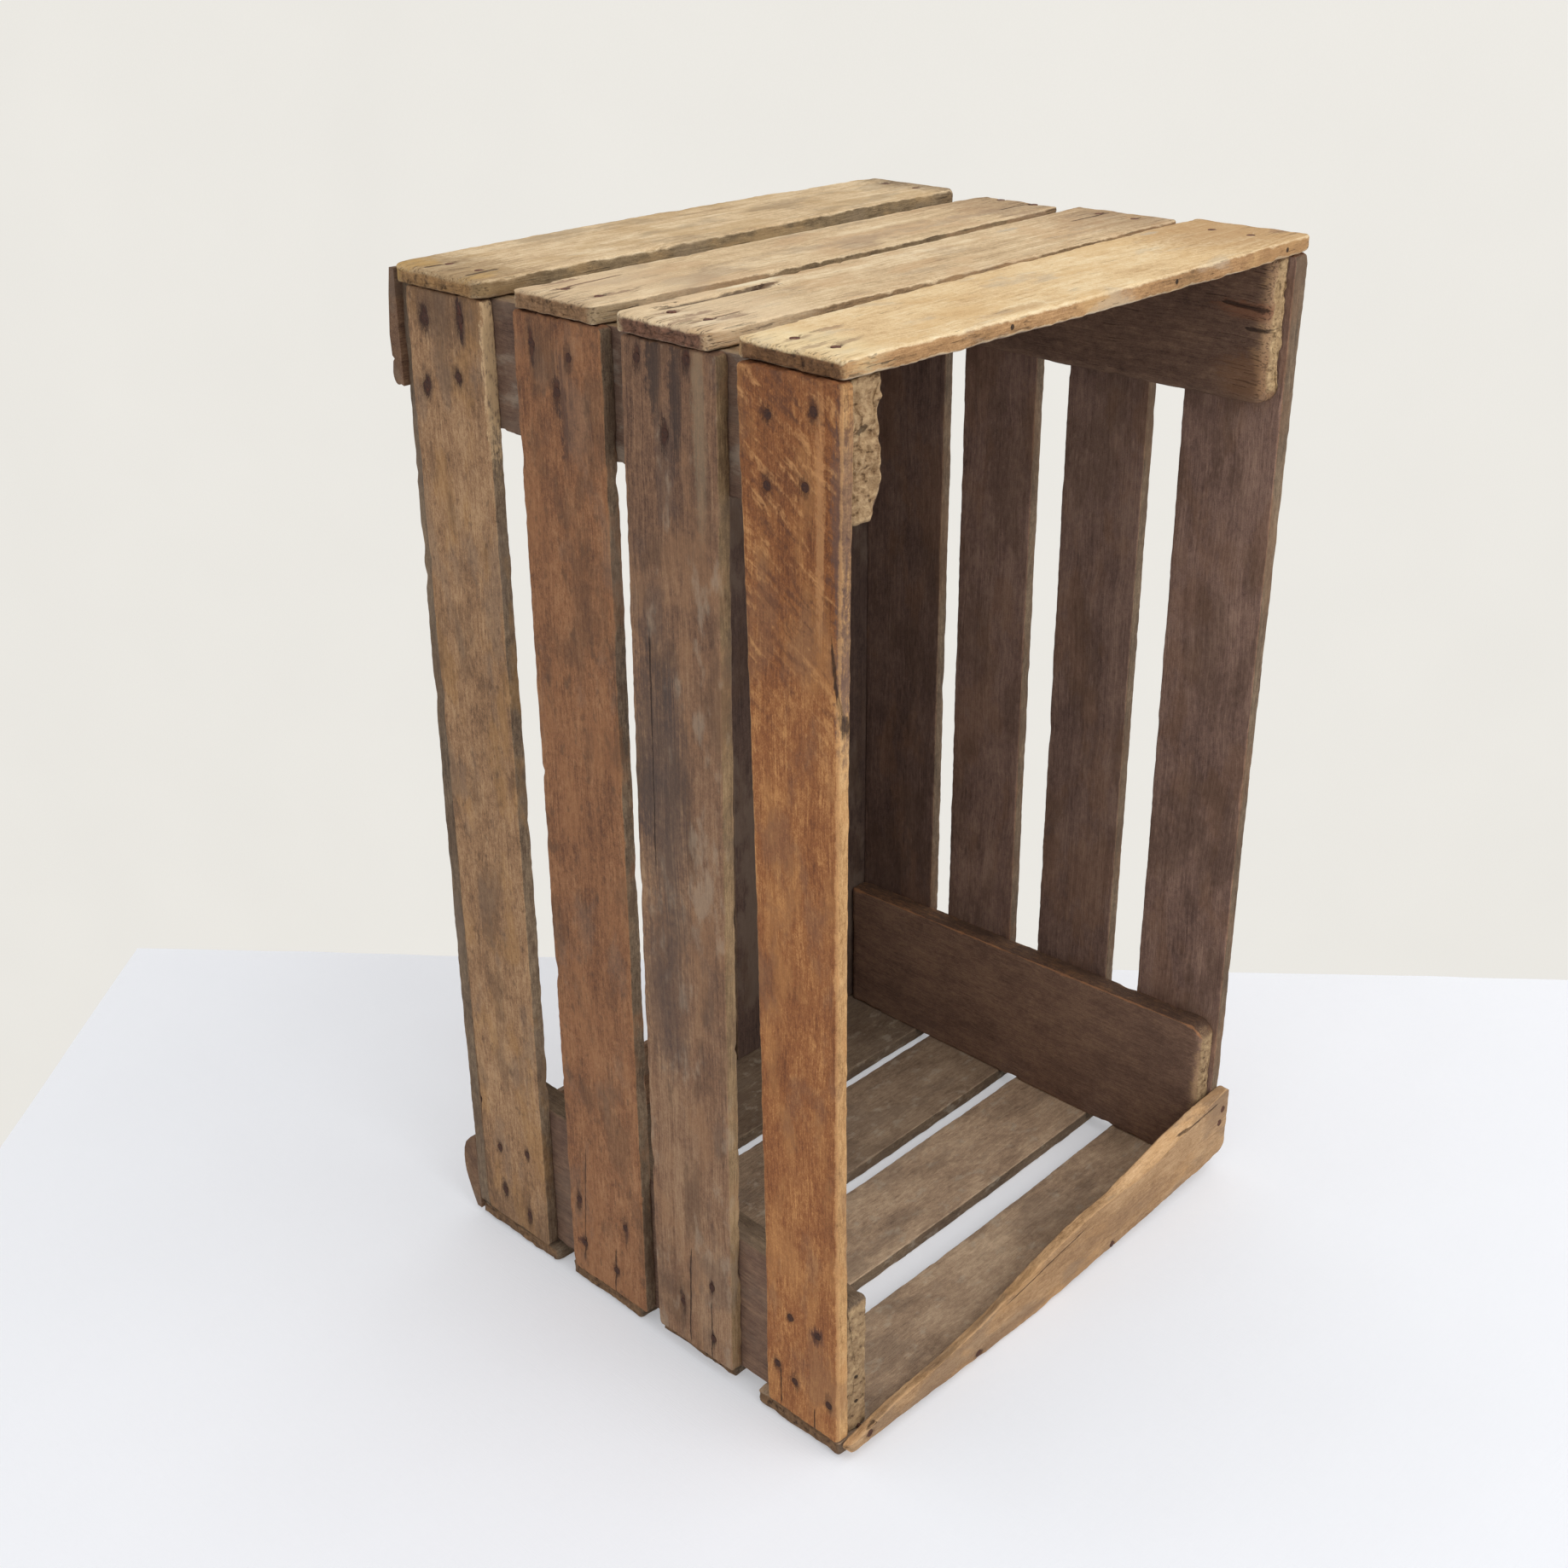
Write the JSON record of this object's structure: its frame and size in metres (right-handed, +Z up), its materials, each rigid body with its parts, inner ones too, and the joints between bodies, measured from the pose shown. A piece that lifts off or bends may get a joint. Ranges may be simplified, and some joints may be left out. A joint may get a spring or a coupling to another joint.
{
  "type": "slatted wooden crate",
  "caption": "Old slatted wooden fruit crate stood on its end, with thin sawn slats nailed to corner cleats, a boarded base, battens and a broken lid slat.",
  "frame": {"origin": "centre of the bounding box's foot, on the plane that the crate stands on", "axes": "+Z up the crate's length, +Y from the open side to the base boards, +X from the left long wall to the right one"},
  "size_m": [0.376, 0.331, 0.6],
  "materials": {
    "left_wood": "sawn, weathered and stained",
    "right_wood": "sawn, weathered and stained",
    "top_wood": "sawn, bleached by the sun",
    "floor_wood": "sawn, dusty and grey",
    "cleat_wood": "sawn, darkened with age",
    "base_wood": "sawn, darkened with age",
    "batten_wood": "rough sawn, grey",
    "lid_wood": "grey outside, fresh along the break",
    "nail_iron": "rusted wire nail"
  },
  "bodies": {
    "root": {"left_slat_1": "left_wood", "left_slat_2": "left_wood", "left_slat_3": "left_wood", "left_slat_4": "left_wood", "right_slat_1": "right_wood", "right_slat_2": "right_wood", "right_slat_3": "right_wood", "right_slat_4": "right_wood", "top_slat_1": "top_wood", "top_slat_2": "top_wood", "top_slat_3": "top_wood", "top_slat_4": "top_wood", "floor_slat_1": "floor_wood", "floor_slat_2": "floor_wood", "floor_slat_3": "floor_wood", "floor_slat_4": "floor_wood", "left_upper_cleat": "cleat_wood", "left_lower_cleat": "cleat_wood", "right_upper_cleat": "cleat_wood", "right_lower_cleat": "cleat_wood", "base_board_1": "base_wood", "base_board_2": "base_wood", "base_board_3": "base_wood", "base_board_4": "base_wood", "base_board_5": "base_wood", "upper_batten": "batten_wood", "lower_batten": "batten_wood", "broken_lid_slat": "lid_wood", "left_nails": "nail_iron", "right_nails": "nail_iron", "top_nails": "nail_iron", "floor_nails": "nail_iron", "base_nails": "nail_iron", "lid_nails": "nail_iron"}
  },
  "joints": []
}
